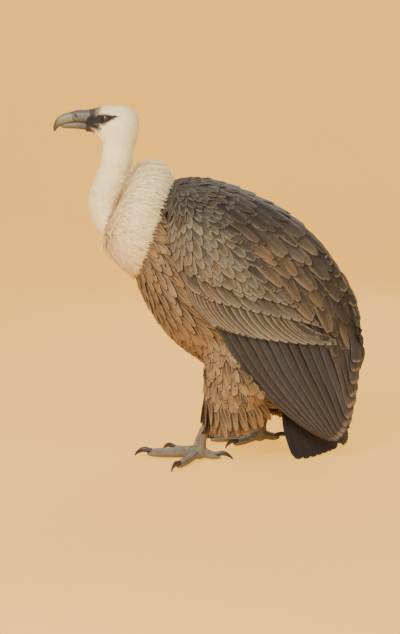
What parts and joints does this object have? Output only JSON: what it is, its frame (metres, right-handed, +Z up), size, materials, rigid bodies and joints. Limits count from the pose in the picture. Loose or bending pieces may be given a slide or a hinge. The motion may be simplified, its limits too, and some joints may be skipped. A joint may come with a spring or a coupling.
{
  "type": "griffon vulture",
  "caption": "Griffon vulture standing at rest with folded wings, a downy white head and ruff, a hooked bill, and its tail tip down on the floor.",
  "frame": {"origin": "middle of the bounding box's footprint, on the floor that the bird stands on", "axes": "+Z up, -X the way the bird faces, -Y towards its left side"},
  "size_m": [0.6704, 0.3398, 0.762],
  "materials": {
    "breast_feathers": "matte golden-buff pointed feathers with dark brown edges",
    "down": "matte creamy white down",
    "covert_feathers": "matte grey-brown feathers with paler edges",
    "quill_feathers": "blackish brown vanes with a faint sheen",
    "horn": "smooth greenish grey horn, satin",
    "eye": "wet dark brown",
    "bare_skin": "grey scaled skin, matte",
    "claw": "dark horn, worn satin"
  },
  "bodies": {
    "root": {"trunk": "breast_feathers", "ruff": "down", "neck": "down", "head": "down", "bill_upper": "horn", "bill_lower": "horn", "tail": "quill_feathers", "eye_left": "eye", "wing_left": "covert_feathers", "quills_left": "quill_feathers", "thigh_left": "breast_feathers", "shank_left": "bare_skin", "toe_left_hind": "bare_skin", "claw_left_hind": "claw", "toe_left_inner": "bare_skin", "claw_left_inner": "claw", "toe_left_middle": "bare_skin", "claw_left_middle": "claw", "toe_left_outer": "bare_skin", "claw_left_outer": "claw", "eye_right": "eye", "wing_right": "covert_feathers", "quills_right": "quill_feathers", "thigh_right": "breast_feathers", "shank_right": "bare_skin", "toe_right_hind": "bare_skin", "claw_right_hind": "claw", "toe_right_inner": "bare_skin", "claw_right_inner": "claw", "toe_right_middle": "bare_skin", "claw_right_middle": "claw", "toe_right_outer": "bare_skin", "claw_right_outer": "claw"}
  },
  "joints": []
}
